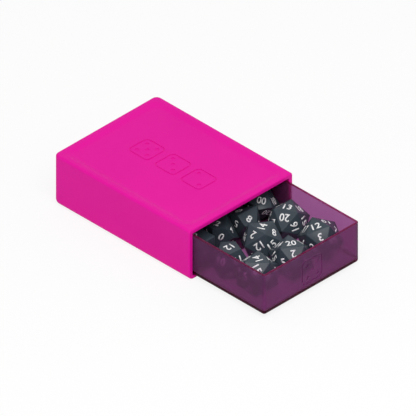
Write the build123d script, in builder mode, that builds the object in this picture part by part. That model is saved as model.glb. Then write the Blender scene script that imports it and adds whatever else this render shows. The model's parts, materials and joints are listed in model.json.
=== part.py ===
# Dice box: a moulded sleeve, a clear tinted drawer that slides out of it, and the dice in the drawer.
# Millimetres. +Z is up, the drawer opens towards -Y, and the origin is the middle of the sleeve's underside.
from build123d import *
from math import cos, radians, sin, sqrt
import os

# Dice sizes
d20_across = 19.6
d10_belt_radius = 10.5
d10_point_height = 11.0
d12_across = 16.6
d6_side = 15.0
d6_edge_round = 1.0

# Room round the dice: beside each other, over a die that stands on its corner, and under every die
d20_gap = 0.27
small_die_gap = 0.6
die_headroom = 0.34
die_seat_gap = 0.05
row_dice_count = 3

# Drawer: a tray with four walls and a floor
drawer_length = 96.8
drawer_wall = 1.4
drawer_floor = 1.5
drawer_corner_radius = 1.8
drawer_inner_radius = 0.4
drawer_bottom_radius = 1.6
drawer_out = 52.0

# Sleeve: a shell that is closed at the back and open at the front
side_wall = 2.7
back_wall = 2.7
sleeve_floor = 2.1
roof = 2.6
side_gap = 0.35
slide_gap = 0.2
top_gap = 1.6
rear_gap = 0.5
sleeve_corner_radius = 3.5
sleeve_top_radius = 1.5
mouth_outer_radius = 0.8
mouth_inner_radius = 0.4

# Shallow dished panel in the top of the sleeve
rim_width = 2.6
rim_corner_radius = 5.0
slope_width = 4.4
slope_steps = 6
dish_depth = 0.9

# Sunken marks in the shape of die faces with round pips
mark_side = 15.0
mark_corner_radius = 3.0
mark_line = 0.8
mark_gap = 4.0
mark_depth = 0.3
pip_radius = 1.2
pip_step = 3.7

# Large dice: column from the left wall and row from the front wall, in steps of one twenty-sided die,
# then in degrees the turn on the floor, the lean and the direction of the level line it leans about
large_dice_places = (
    ("d20_front_left", 0.52, 0.74, 102, 0, 0),
    ("d20_front_middle", 1.508, 0.63, 117, 0, 0),
    ("d20_front_right", 2.50, 0.66, 0, 16, 260),
    ("d20_middle", 1.52, 1.58, 56, 0, 0),
    ("d20_right", 2.49, 1.72, 90, 0, 0),
    ("d12_left", 0.513, 1.665, 50, 0, 0),
)

# Ten-sided dice: column from the six-sided die and how far the die reaches in among the row before it,
# both in steps of one die, then turn, lean and direction as for the large dice
third_row_steps = 2.29
d10_places = (
    ("d10_left", -0.035, 0.19, 18, 0, 0),
    ("d10_middle", 1.037, 0.451, 24, 34, 0),
    ("d10_tens", 2.146, 0.105, 36, 30, 330),
)

# Numbers that the dice's face directions are worked out from
gold = (1 + sqrt(5)) / 2
signs = (1, -1)

os.makedirs("parts", exist_ok=True)


def turned(directions, down, forward):
    # Face directions of a die, seen so that one face points down and forward points along +X
    frame = Plane(origin=(0, 0, 0), x_dir=forward, z_dir=down * -1)
    return [frame.to_local_coords(Vector(d)).normalized() for d in directions]


def twenty_sided():
    # The faces of an icosahedron point to the corners of a dodecahedron
    faces = [(a, b, c) for a in signs for b in signs for c in signs]
    for a in signs:
        for b in signs:
            faces += [(0, a / gold, b * gold), (a / gold, b * gold, 0), (b * gold, 0, a / gold)]
    down = Vector(1, 1, 1).normalized()
    corner = Vector(1, 0, gold)
    return turned(faces, down, corner - down * corner.dot(down))


def twelve_sided():
    # The faces of a dodecahedron point to the corners of an icosahedron
    faces = []
    for a in signs:
        for b in signs:
            faces += [(0, a * gold, b), (b, 0, a * gold), (a * gold, b, 0)]
    down = Vector(0, gold, 1).normalized()
    corner = Vector(1, 1, 1)
    return turned(faces, down, corner - down * corner.dot(down))


def ten_sided(rise):
    # Ten kites, five about each point; rise is where a kite's plane meets the die's axis, turned level
    faces = []
    for i in range(10):
        angle = radians(36 * i)
        side = 1 if i % 2 == 0 else -1
        faces.append((rise * cos(angle), rise * sin(angle), side * d10_belt_radius))
    down = Vector(*faces[5]).normalized()
    axis = Vector(0, 0, 1)
    return turned(faces, down, axis - down * axis.dot(down))


def flat_faced(faces, across):
    # A ball cut flat at each face, standing on one of them about the origin
    with BuildPart() as solid:
        Sphere(across)
        for face in faces:
            split(bisect_by=Plane(origin=face * (across / 2), z_dir=face), keep=Keep.BOTTOM)
    return solid.part


def posed(shape, turn, lean, about):
    # A die turned on the floor, then leant about a level line
    lean_axis = (cos(radians(about)), sin(radians(about)), 0)
    pose = Location((0, 0, 0), lean_axis, lean) * Location((0, 0, 0), (0, 0, 1), turn)
    with BuildPart() as die:
        with Locations(pose):
            add(shape)
    return die.part


# Shapes of the flat-faced dice
d20_shape = flat_faced(twenty_sided(), d20_across)
d20_corners = d20_across * sqrt(15 - 6 * sqrt(5))
d10_rise = d10_point_height * 2 / (1 + cos(radians(36)))
d10_across = 2 * d10_point_height * d10_belt_radius / sqrt(d10_rise**2 + d10_belt_radius**2)
d10_shape = flat_faced(ten_sided(d10_rise), d10_across)
d10_reach = max(d10_belt_radius, d10_point_height)
d12_shape = flat_faced(twelve_sided(), d12_across)

# Room that the rows of dice take across the drawer, and the drawer's inside
d20_step = (d20_across + d20_corners) / 2 + d20_gap
d10_start = 2 * small_die_gap + d6_side + d10_reach
third_row_width = 0
for label, column, nest, turn, lean, about in d10_places:
    reach = posed(d10_shape, turn, lean, about).bounding_box().max.X
    third_row_width = max(third_row_width, d10_start + column * d10_across + reach + die_seat_gap)
drawer_inner_width = max(row_dice_count * d20_step, third_row_width)
column_step = drawer_inner_width / row_dice_count
drawer_inner_length = drawer_length - 2 * drawer_wall
inside_height = d20_corners + die_headroom

# Outer sizes and places that follow
drawer_width = drawer_inner_width + 2 * drawer_wall
drawer_height = drawer_floor + inside_height - top_gap
cavity_width = drawer_width + 2 * side_gap
cavity_height = slide_gap + drawer_floor + inside_height
cavity_length = drawer_length + rear_gap
sleeve_width = cavity_width + 2 * side_wall
sleeve_length = cavity_length + back_wall
sleeve_height = sleeve_floor + cavity_height + roof
sleeve_front = -sleeve_length / 2
drawer_bottom = sleeve_floor + slide_gap
drawer_front = sleeve_front - drawer_out
drawer_middle = drawer_front + drawer_length / 2
floor_top = drawer_bottom + drawer_floor
inner_left = -drawer_inner_width / 2
inner_front = drawer_front + drawer_wall
third_row = inner_front + third_row_steps * d20_step


def die_face(count):
    # Outline of a die's face with round pips, in the sketch that is open
    RectangleRounded(mark_side, mark_side, mark_corner_radius)
    inside = mark_side - 2 * mark_line
    RectangleRounded(inside, inside, mark_corner_radius - mark_line, mode=Mode.SUBTRACT)
    centre = [(0, 0)] * (count % 2)
    corners = [(-1, -1), (1, 1), (-1, 1), (1, -1)][: count - count % 2]
    with Locations(*centre, *[(a * pip_step, b * pip_step) for a, b in corners]):
        Circle(pip_radius)


# Sleeve
with BuildPart() as sleeve:
    with BuildSketch():
        Rectangle(sleeve_width, sleeve_length)
    extrude(amount=sleeve_height)
    back_face = sleeve.faces().sort_by(Axis.Y)[-1]
    back_uprights = back_face.edges().filter_by(Axis.Z)
    under_front = sleeve.faces().sort_by(Axis.Z)[0].edges().sort_by(Axis.Y)[0]
    under_edges = sleeve.faces().sort_by(Axis.Z)[0].edges() - [under_front]
    fillet(back_uprights + under_edges, radius=sleeve_corner_radius)
    top_front = sleeve.faces().sort_by(Axis.Z)[-1].edges().sort_by(Axis.Y)[0]
    top_edges = sleeve.faces().sort_by(Axis.Z)[-1].edges() - [top_front]
    fillet(top_edges, radius=sleeve_top_radius)
    # Cavity that the drawer slides in
    with BuildSketch(Plane.XZ.offset(-sleeve_front)):
        with Locations((0, sleeve_floor + cavity_height / 2)):
            Rectangle(cavity_width, cavity_height)
    extrude(amount=-cavity_length, mode=Mode.SUBTRACT)
    mouth = sleeve.faces().sort_by(Axis.Y)[0]
    fillet(mouth.outer_wire().edges(), radius=mouth_outer_radius)
    mouth = sleeve.faces().sort_by(Axis.Y)[0]
    fillet(mouth.inner_wires()[0].edges(), radius=mouth_inner_radius)
    # Dished panel: a gentle slope from the flat rim down to the flat panel
    for step in range(slope_steps + 1):
        share = step / slope_steps
        drop = dish_depth * (1 - cos(radians(180 * share))) / 2
        inset = rim_width + slope_width * share
        with BuildSketch(Plane.XY.offset(sleeve_height - drop)):
            RectangleRounded(
                sleeve_width - 2 * inset,
                sleeve_length - 2 * inset,
                rim_corner_radius,
            )
    loft(ruled=True, mode=Mode.SUBTRACT)
    # Three sunken die faces in a row along the panel
    for row, count in ((-1, 2), (0, 3), (1, 5)):
        with BuildSketch(Plane.XY.offset(sleeve_height - dish_depth)):
            with Locations((0, row * (mark_side + mark_gap))):
                die_face(count)
        extrude(amount=-mark_depth, mode=Mode.SUBTRACT)
sleeve.part.label = "sleeve"
export_step(sleeve.part, "parts/sleeve.step")

# Drawer
with BuildPart() as drawer:
    with BuildSketch(Plane.XY.offset(drawer_bottom)):
        with Locations((0, drawer_middle)):
            RectangleRounded(drawer_width, drawer_length, drawer_corner_radius)
    extrude(amount=drawer_height)
    fillet(drawer.faces().sort_by(Axis.Z)[0].edges(), radius=drawer_bottom_radius)
    with BuildSketch(Plane.XY.offset(floor_top)):
        with Locations((0, drawer_middle)):
            RectangleRounded(drawer_inner_width, drawer_inner_length, drawer_inner_radius)
    extrude(amount=drawer_height, mode=Mode.SUBTRACT)
    # One sunken die face in the middle of the front
    with BuildSketch(Plane.XZ.offset(-drawer_front)):
        with Locations((0, drawer_bottom + drawer_height / 2)):
            die_face(5)
    extrude(amount=-mark_depth, mode=Mode.SUBTRACT)
drawer.part.label = "drawer"
export_step(drawer.part, "parts/drawer.step")


def make_die(label, shape, x, y, turn, lean, about):
    # A die set down on the drawer's floor
    die = posed(shape, turn, lean, about)
    seat = floor_top + die_seat_gap - die.bounding_box().min.Z
    die.move(Location((x, y, seat)))
    die.label = label
    export_step(die, f"parts/{label}.step")


# Twenty-sided dice and the twelve-sided one
for label, column, row, turn, lean, about in large_dice_places:
    shape = d12_shape if label.startswith("d12") else d20_shape
    x = inner_left + column * column_step
    y = inner_front + row * d20_step
    make_die(label, shape, x, y, turn, lean, about)

# Six-sided die at the left wall
with BuildPart() as d6:
    with BuildSketch(Plane.XY.offset(floor_top + die_seat_gap)):
        with Locations((inner_left + small_die_gap + d6_side / 2, third_row + d6_side / 2)):
            Rectangle(d6_side, d6_side)
    extrude(amount=d6_side)
    fillet(d6.edges(), radius=d6_edge_round)
d6.part.label = "d6_left"
export_step(d6.part, "parts/d6_left.step")

# Ten-sided dice beside it
for label, column, nest, turn, lean, about in d10_places:
    x = inner_left + d10_start + column * d10_across
    y = third_row + d10_reach - nest * d10_across
    make_die(label, d10_shape, x, y, turn, lean, about)
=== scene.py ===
import json
import math

import bmesh
import bpy
from mathutils import Matrix, Vector


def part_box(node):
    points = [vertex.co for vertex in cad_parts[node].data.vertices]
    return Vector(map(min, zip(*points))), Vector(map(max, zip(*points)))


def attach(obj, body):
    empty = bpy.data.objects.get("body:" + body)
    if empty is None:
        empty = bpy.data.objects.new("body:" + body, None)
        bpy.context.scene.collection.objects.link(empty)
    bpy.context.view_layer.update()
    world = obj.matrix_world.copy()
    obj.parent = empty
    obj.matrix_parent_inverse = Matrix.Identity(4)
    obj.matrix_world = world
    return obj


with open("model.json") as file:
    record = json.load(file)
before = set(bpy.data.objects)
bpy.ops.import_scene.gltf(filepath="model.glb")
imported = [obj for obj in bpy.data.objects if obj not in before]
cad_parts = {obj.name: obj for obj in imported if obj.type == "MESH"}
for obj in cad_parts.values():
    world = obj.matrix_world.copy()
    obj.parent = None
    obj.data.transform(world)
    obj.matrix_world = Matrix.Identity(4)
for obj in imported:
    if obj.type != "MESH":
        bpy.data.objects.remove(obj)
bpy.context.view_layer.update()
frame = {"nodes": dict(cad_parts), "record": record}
nodes = frame["nodes"]

# Camera: a parallel view
view_turn = math.radians(45)
view_rise = math.radians(35)
frame_width = 0.2161
aim_right = 0.0182
aim_up = 0.0024
camera_distance = 1.0

# Edges of the flat-faced dice
die_edge_round = 0.00018
die_edge_segments = 2
die_edge_angle = math.radians(25)
weld_distance = 0.000001

# How alike two triangles' directions and how near two corners have to be to count as the same
same_direction = 0.999
same_point = 0.00001

# Numerals; their boldness and underline are in parts of the typeface's size
numeral_height = 0.0043
digit_width = 0.0027
tens_digit_width = 0.0024
numeral_lift = 0.00004
numeral_sink = 0.00010
numeral_boldness = 0.016
numeral_curve_steps = 3
underline_place = -0.02
underline_height = 0.1

# Colours: each surface changes slowly between two near ones
sleeve_colours = ((0.76, 0.005, 0.325), (0.78, 0.006, 0.335))
drawer_colours = ((0.72, 0.20, 0.62), (0.74, 0.21, 0.64))
dice_colours = ((0.035, 0.049, 0.062), (0.042, 0.057, 0.072))
paint_colours = ((0.86, 0.87, 0.88), (0.92, 0.92, 0.92))
cloud_low = 0.35
cloud_high = 0.65

# Drawer: what its plastic absorbs, a painted line on its rim's top in place of light bent through the
# rounded rim, and painted shade low on its walls, which are the faces that point up by less than the limit
absorption_colour = (0.0, 0.2, 0.0)
absorption_density = 420
rim_painted_refraction_colour = (0.75, 0.03, 0.25)
painted_rim_depth = 0.00005
foot_painted_shade_colour = (0.17, 0.001, 0.035)
painted_shade_height = 0.0027
underside_margin = 0.00005
wall_up_limit = 0.5

# Floor, world and lamp
floor_side = 6.0
floor_drop = 0.0002
floor_white = 0.86
floor_grey = 0.9
sky_strength = 0.632
lamp_place = Vector((-0.25, -0.42, 0.76))
lamp_target = Vector((0, -0.03, 0))
lamp_size = 0.5
lamp_power = 3.6

# Directions of the camera's view
to_right = Vector((math.cos(view_turn), -math.sin(view_turn), 0))
to_camera = Vector(
    (
        -math.sin(view_turn) * math.cos(view_rise),
        -math.cos(view_turn) * math.cos(view_rise),
        math.sin(view_rise),
    )
)
to_top = to_camera.cross(to_right)

# Numerals that can be read on the large dice: the number, its face's middle as the camera sees it in
# millimetres right of and above the die's middle, and where its top points in degrees clockwise from up
large_numerals = {
    "d20_front_left": (
        (14, 0, 8, 230),
        (15, 0, 2, 62),
        (4, 6, 8, 310),
    ),
    "d20_front_middle": (
        (20, 0, 8, 340),
        (2, 1, 2, 171),
        (8, 5, 8, 0),
        (14, -6, 7, 42),
    ),
    "d20_front_right": (
        (12, -2, 7, 337),
        (3, 0, 1, 159),
        (10, 3, 9, 138),
        (7, 8, 5, 353),
        (17, -8, 5, 29),
    ),
    "d12_left": (
        (12, 0, 7, 123),
        (11, 5, 0, 344),
    ),
    "d20_middle": (
        (2, -5, 3, 215),
        (14, 0, 8, 281),
        (8, 6, 5, 355),
        (12, -2, -2, 146),
        (15, 5, -2, 327),
        (16, -9, 2, 17),
    ),
    "d20_right": (
        (20, -2, 2, 191),
        (13, 0, 8, 25),
        (16, 4, -2, 253),
        (15, 8, 1, 46),
        (18, 6, 7, 320),
        (7, -7, 0, 1),
    ),
}

# Numerals that can be read on the ten-sided dice: the number and its face's middle, as for the large dice
d10_numerals = {
    "d10_left": ((2, -1, 5), (4, 6, 2)),
    "d10_middle": ((8, 2, 2), (0, -4, 6), (5, -5, -1), (3, 7, -1)),
    "d10_tens": ((0, 0, 5), (1, 7, 3)),
}

# Numerals of the six-sided die: the number, the way its face points and the way its top points
d6_numerals = (
    (2, (0, 0, 1), (1, 1, 0)),
    (5, (0, 0, -1), (0, 1, 0)),
    (1, (0, -1, 0), (0, 0, 1)),
    (6, (0, 1, 0), (0, 0, 1)),
    (3, (-1, 0, 0), (0, 0, 1)),
    (4, (1, 0, 0), (0, 0, 1)),
)


def flat_faces(node):
    # Middle, direction and corners of each flat face of a die, from the node's own triangles
    mesh = nodes[node].data
    groups = []
    for polygon in mesh.polygons:
        for direction, corners in groups:
            if direction.dot(polygon.normal) > same_direction:
                break
        else:
            direction, corners = polygon.normal.copy(), []
            groups.append((direction, corners))
        for index in polygon.vertices:
            point = mesh.vertices[index].co
            if all((point - known).length > same_point for known in corners):
                corners.append(point.copy())
    faces = []
    for direction, corners in groups:
        middle = sum(corners, Vector()) / len(corners)
        faces.append((middle, direction, corners))
    return faces


def die_middle(node):
    low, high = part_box(node)
    return (low + high) / 2


def seen_from(node, faces, right, up):
    # The face that the camera sees nearest to a place about the die's middle
    middle = die_middle(node)
    best = None
    for index, (centre, direction, corners) in enumerate(faces):
        if direction.dot(to_camera) > 0:
            offset = centre - middle
            miss = math.hypot(
                offset.dot(to_right) - right / 1000, offset.dot(to_top) - up / 1000
            )
            if best is None or miss < best[0]:
                best = (miss, index)
    return best[1]


def flattened(vector):
    # A direction as the camera sees it
    return (vector - to_camera * vector.dot(to_camera)).normalized()


def corner_towards(face, degrees):
    # The corner of a face that lies in a direction as the camera sees it
    centre, direction, corners = face
    wanted = to_top * math.cos(math.radians(degrees)) + to_right * math.sin(math.radians(degrees))
    return max(corners, key=lambda corner: flattened(corner - centre).dot(wanted))


def top_towards(face, degrees):
    # The way a numeral's top points: to a corner of its face, or away from one on a five-cornered face
    centre, direction, corners = face
    if len(corners) == 5:
        return centre - corner_towards(face, degrees + 180)
    return corner_towards(face, degrees) - centre


def opposite(faces, index):
    # The face that points the other way
    direction = faces[index][1]
    return min(range(len(faces)), key=lambda other: faces[other][1].dot(direction))


def fill_numbers(faces, given, numbers, total):
    # Numbers for the faces that aren't given one: opposite faces add up to the total where they can
    free = [n for n in numbers if n not in given.values()]
    for index in range(len(faces)):
        if index not in given:
            partner = given.get(opposite(faces, index))
            wanted = None if partner is None else total - partner
            given[index] = wanted if wanted in free else free[0]
            free.remove(given[index])
    return given


numeral_meshes = {}


def numeral_mesh(text, width):
    # A flat numeral about the origin, its top along +Y
    if (text, width) not in numeral_meshes:
        curve = bpy.data.curves.new("numeral", "FONT")
        curve.body = text
        curve.offset = numeral_boldness
        curve.resolution_u = numeral_curve_steps
        if text in ("6", "9"):
            curve.body_format[0].use_underline = True
            curve.underline_position = underline_place
            curve.underline_height = underline_height
        holder = bpy.data.objects.new("numeral", curve)
        bpy.context.scene.collection.objects.link(holder)
        bpy.context.view_layer.update()
        mesh = bpy.data.meshes.new_from_object(holder)
        bpy.data.objects.remove(holder)
        xs = [v.co.x for v in mesh.vertices]
        ys = [v.co.y for v in mesh.vertices]
        middle = Vector(((min(xs) + max(xs)) / 2, (min(ys) + max(ys)) / 2, 0))
        tall = numeral_height / (max(ys) - min(ys))
        wide = min(width * len(text) / (max(xs) - min(xs)), tall)
        mesh.transform(Matrix.Diagonal((wide, tall, 1, 1)) @ Matrix.Translation(-middle))
        numeral_meshes[(text, width)] = mesh
    return numeral_meshes[(text, width)]


def add_numerals(node, material, placed, width):
    # One piece that holds all the numerals of a die, slightly raised and sunk into its faces
    made = bmesh.new()
    for text, centre, direction, top in placed:
        upward = (top - top.project(direction)).normalized()
        across = upward.cross(direction)
        turn = Matrix((across, upward, direction)).transposed().to_4x4()
        place = Matrix.Translation(centre + direction * numeral_lift) @ turn
        copy = numeral_mesh(text, width).copy()
        copy.transform(place)
        made.from_mesh(copy)
        bpy.data.meshes.remove(copy)
    mesh = bpy.data.meshes.new(f"{node}_numerals")
    made.to_mesh(mesh)
    made.free()
    mesh.materials.append(material)
    piece = bpy.data.objects.new(f"{node}_numerals", mesh)
    bpy.context.scene.collection.objects.link(piece)
    thick = piece.modifiers.new("thickness", "SOLIDIFY")
    thick.thickness = numeral_lift + numeral_sink
    thick.offset = -1
    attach(piece, "drawer")


def start_material(name):
    material = bpy.data.materials.new(name)
    material.use_nodes = True
    tree = material.node_tree
    shader = tree.nodes["Principled BSDF"]
    return material, tree, shader


def add_clouds(tree, shader, colours, scale):
    # Slow change between two near colours
    low, high = colours
    place = tree.nodes.new("ShaderNodeTexCoord")
    clouds = tree.nodes.new("ShaderNodeTexNoise")
    clouds.inputs["Scale"].default_value = scale
    clouds.inputs["Detail"].default_value = 3
    tree.links.new(place.outputs["Object"], clouds.inputs["Vector"])
    ramp = tree.nodes.new("ShaderNodeValToRGB")
    ramp.color_ramp.elements[0].position = cloud_low
    ramp.color_ramp.elements[0].color = (*low, 1)
    ramp.color_ramp.elements[1].position = cloud_high
    ramp.color_ramp.elements[1].color = (*high, 1)
    tree.links.new(clouds.outputs["Fac"], ramp.inputs["Fac"])
    tree.links.new(ramp.outputs["Color"], shader.inputs["Base Color"])


def add_grain(tree, shader, scale, height):
    # Fine moulded grain
    place = tree.nodes.new("ShaderNodeTexCoord")
    grain = tree.nodes.new("ShaderNodeTexNoise")
    grain.inputs["Scale"].default_value = scale
    grain.inputs["Detail"].default_value = 2
    tree.links.new(place.outputs["Object"], grain.inputs["Vector"])
    bump = tree.nodes.new("ShaderNodeBump")
    bump.inputs["Strength"].default_value = 0.3
    bump.inputs["Distance"].default_value = height
    tree.links.new(grain.outputs["Fac"], bump.inputs["Height"])
    tree.links.new(bump.outputs["Normal"], shader.inputs["Normal"])


def add_math(tree, operation, first, second):
    # A Math node on one output and a number or another output
    node = tree.nodes.new("ShaderNodeMath")
    node.operation = operation
    tree.links.new(first, node.inputs[0])
    if isinstance(second, float):
        node.inputs[1].default_value = second
    else:
        tree.links.new(second, node.inputs[1])
    return node


def add_edge_tints(tree, shader):
    # Painted light on the drawer: a painted refraction line on the top of its rim, and painted shade low
    # on its walls, where its floor meets them
    low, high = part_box("drawer")
    place = tree.nodes.new("ShaderNodeTexCoord")
    height = tree.nodes.new("ShaderNodeSeparateXYZ")
    tree.links.new(place.outputs["Object"], height.inputs["Vector"])
    facing = tree.nodes.new("ShaderNodeSeparateXYZ")
    tree.links.new(place.outputs["Normal"], facing.inputs["Vector"])
    rim = add_math(tree, "GREATER_THAN", height.outputs["Z"], high.z - painted_rim_depth)
    band = add_math(tree, "COMPARE", height.outputs["Z"], low.z + painted_shade_height / 2)
    band.inputs[2].default_value = painted_shade_height / 2 - underside_margin
    upright = add_math(tree, "LESS_THAN", facing.outputs["Z"], wall_up_limit)
    foot = add_math(tree, "MULTIPLY", band.outputs[0], upright.outputs[0])
    # The rim's top gets the painted refraction line, and the walls' foot gets the painted shade
    for mask, colour in ((rim, rim_painted_refraction_colour), (foot, foot_painted_shade_colour)):
        mix = tree.nodes.new("ShaderNodeMixRGB")
        mix.inputs["Color2"].default_value = (*colour, 1)
        tree.links.new(mask.outputs[0], mix.inputs["Fac"])
        tree.links.new(shader.inputs["Base Color"].links[0].from_socket, mix.inputs["Color1"])
        tree.links.new(mix.outputs["Color"], shader.inputs["Base Color"])


def sleeve_plastic():
    material, tree, shader = start_material("sleeve_plastic")
    add_clouds(tree, shader, sleeve_colours, 30)
    add_grain(tree, shader, 2500, 0.00002)
    shader.inputs["Roughness"].default_value = 0.5
    shader.inputs["Specular IOR Level"].default_value = 0.1
    return material


def drawer_plastic():
    material, tree, shader = start_material("drawer_plastic")
    add_clouds(tree, shader, drawer_colours, 40)
    add_edge_tints(tree, shader)
    shader.inputs["Roughness"].default_value = 0.28
    shader.inputs["IOR"].default_value = 1.16
    shader.inputs["Transmission Weight"].default_value = 0.9
    tint = tree.nodes.new("ShaderNodeVolumeAbsorption")
    tint.inputs["Color"].default_value = (*absorption_colour, 1)
    tint.inputs["Density"].default_value = absorption_density
    tree.links.new(tint.outputs["Volume"], tree.nodes["Material Output"].inputs["Volume"])
    return material


def dice_resin():
    material, tree, shader = start_material("dice_resin")
    add_clouds(tree, shader, dice_colours, 120)
    add_grain(tree, shader, 1500, 0.000005)
    shader.inputs["Roughness"].default_value = 0.28
    shader.inputs["Specular IOR Level"].default_value = 0.18
    return material


def numeral_paint():
    material, tree, shader = start_material("numeral_paint")
    add_clouds(tree, shader, paint_colours, 300)
    shader.inputs["Roughness"].default_value = 0.5
    return material


# Materials on the sleeve, the drawer and the dice
finishes = {
    "sleeve_plastic": sleeve_plastic(),
    "drawer_plastic": drawer_plastic(),
    "dice_resin": dice_resin(),
}
for subpart in frame["record"]["subparts"]:
    mesh = nodes[subpart["node"]].data
    mesh.materials.clear()
    mesh.materials.append(finishes[subpart["material_slot"]])

# Softened edges on the flat-faced dice
for node in (*large_numerals, *d10_numerals):
    weld = nodes[node].modifiers.new("weld", "WELD")
    weld.merge_threshold = weld_distance
    soft = nodes[node].modifiers.new("edges", "BEVEL")
    soft.width = die_edge_round
    soft.segments = die_edge_segments
    soft.limit_method = "ANGLE"
    soft.angle_limit = die_edge_angle

# Numerals on the large dice
paint = numeral_paint()
for node, readable in large_numerals.items():
    faces = flat_faces(node)
    given = {}
    tops = {}
    for number, right, up, degrees in readable:
        index = seen_from(node, faces, right, up)
        given[index] = number
        tops[index] = degrees
    sides = len(faces)
    numbers = fill_numbers(faces, given, range(1, sides + 1), sides + 1)
    placed = []
    for index, face in enumerate(faces):
        top = top_towards(face, tops.get(index, 0))
        placed.append((str(numbers[index]), face[0], face[1], top))
    add_numerals(node, paint, placed, digit_width)

# Numerals on the ten-sided dice, each with its top towards the end of the die that its face meets
for node, readable in d10_numerals.items():
    faces = flat_faces(node)
    given = {}
    for number, right, up in readable:
        given[seen_from(node, faces, right, up)] = number
    numbers = fill_numbers(faces, given, range(10), 9)
    middle = die_middle(node)
    tens = node == "d10_tens"
    placed = []
    for index, (centre, direction, corners) in enumerate(faces):
        top = max(corners, key=lambda corner: (corner - middle).length) - centre
        text = f"{numbers[index]}0" if tens else str(numbers[index])
        placed.append((text, centre, direction, top))
    add_numerals(node, paint, placed, tens_digit_width if tens else digit_width)

# Numerals on the six-sided die
low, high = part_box("d6_left")
half = (high.x - low.x) / 2
placed = []
for number, direction, top in d6_numerals:
    outward = Vector(direction)
    placed.append((str(number), die_middle("d6_left") + outward * half, outward, Vector(top)))
add_numerals("d6_left", paint, placed, digit_width)


def light_path_mix(tree, seen, unseen, share):
    # One shader for rays that show the background and another for the light it gives
    path = tree.nodes.new("ShaderNodeLightPath")
    first = add_math(tree, "MAXIMUM", path.outputs["Is Camera Ray"], path.outputs["Is Glossy Ray"])
    second = add_math(tree, "MAXIMUM", first.outputs[0], path.outputs["Is Transmission Ray"])
    part = add_math(tree, "MULTIPLY", second.outputs[0], share)
    mix = tree.nodes.new("ShaderNodeMixShader")
    tree.links.new(part.outputs[0], mix.inputs["Fac"])
    tree.links.new(unseen.outputs[0], mix.inputs[1])
    tree.links.new(seen.outputs[0], mix.inputs[2])
    return mix


# Floor: white where it is seen, with a faint shadow of the object
bpy.ops.mesh.primitive_plane_add(size=floor_side, location=(0, 0, -floor_drop))
floor = bpy.context.object
floor.name = "floor"
floor_paint = bpy.data.materials.new("floor_paint")
floor_paint.use_nodes = True
tree = floor_paint.node_tree
tree.nodes.clear()
white = tree.nodes.new("ShaderNodeEmission")
white.inputs["Strength"].default_value = 1.0
matt = tree.nodes.new("ShaderNodeBsdfDiffuse")
matt.inputs["Color"].default_value = (floor_grey, floor_grey, floor_grey, 1)
output = tree.nodes.new("ShaderNodeOutputMaterial")
mixed = light_path_mix(tree, white, matt, floor_white)
tree.links.new(mixed.outputs[0], output.inputs["Surface"])
floor.data.materials.append(floor_paint)

# World: white where it is seen, even light all round
world = bpy.data.worlds.new("studio")
bpy.context.scene.world = world
world.use_nodes = True
tree = world.node_tree
tree.nodes.clear()
backdrop = tree.nodes.new("ShaderNodeBackground")
backdrop.inputs["Color"].default_value = (1, 1, 1, 1)
backdrop.inputs["Strength"].default_value = 1.0
sky = tree.nodes.new("ShaderNodeBackground")
sky.inputs["Color"].default_value = (1, 1, 1, 1)
sky.inputs["Strength"].default_value = sky_strength
output = tree.nodes.new("ShaderNodeOutputWorld")
mixed = light_path_mix(tree, backdrop, sky, 1.0)
tree.links.new(mixed.outputs[0], output.inputs["Surface"])

# A soft lamp over the box, towards the drawer's front
lamp = bpy.data.lights.new("top_lamp", "AREA")
lamp.shape = "DISK"
lamp.size = lamp_size
lamp.energy = lamp_power
lamp_holder = bpy.data.objects.new("top_lamp", lamp)
bpy.context.scene.collection.objects.link(lamp_holder)
lamp_holder.location = lamp_place
lamp_holder.rotation_euler = (lamp_target - lamp_place).to_track_quat("-Z", "Y").to_euler()

# Camera
lens = bpy.data.cameras.new("camera")
lens.type = "ORTHO"
lens.ortho_scale = frame_width
camera = bpy.data.objects.new("camera", lens)
bpy.context.scene.collection.objects.link(camera)
camera.location = to_right * aim_right + to_top * aim_up + to_camera * camera_distance
camera.rotation_euler = to_camera.to_track_quat("Z", "Y").to_euler()
bpy.context.scene.camera = camera
bpy.context.scene.view_settings.view_transform = "Standard"
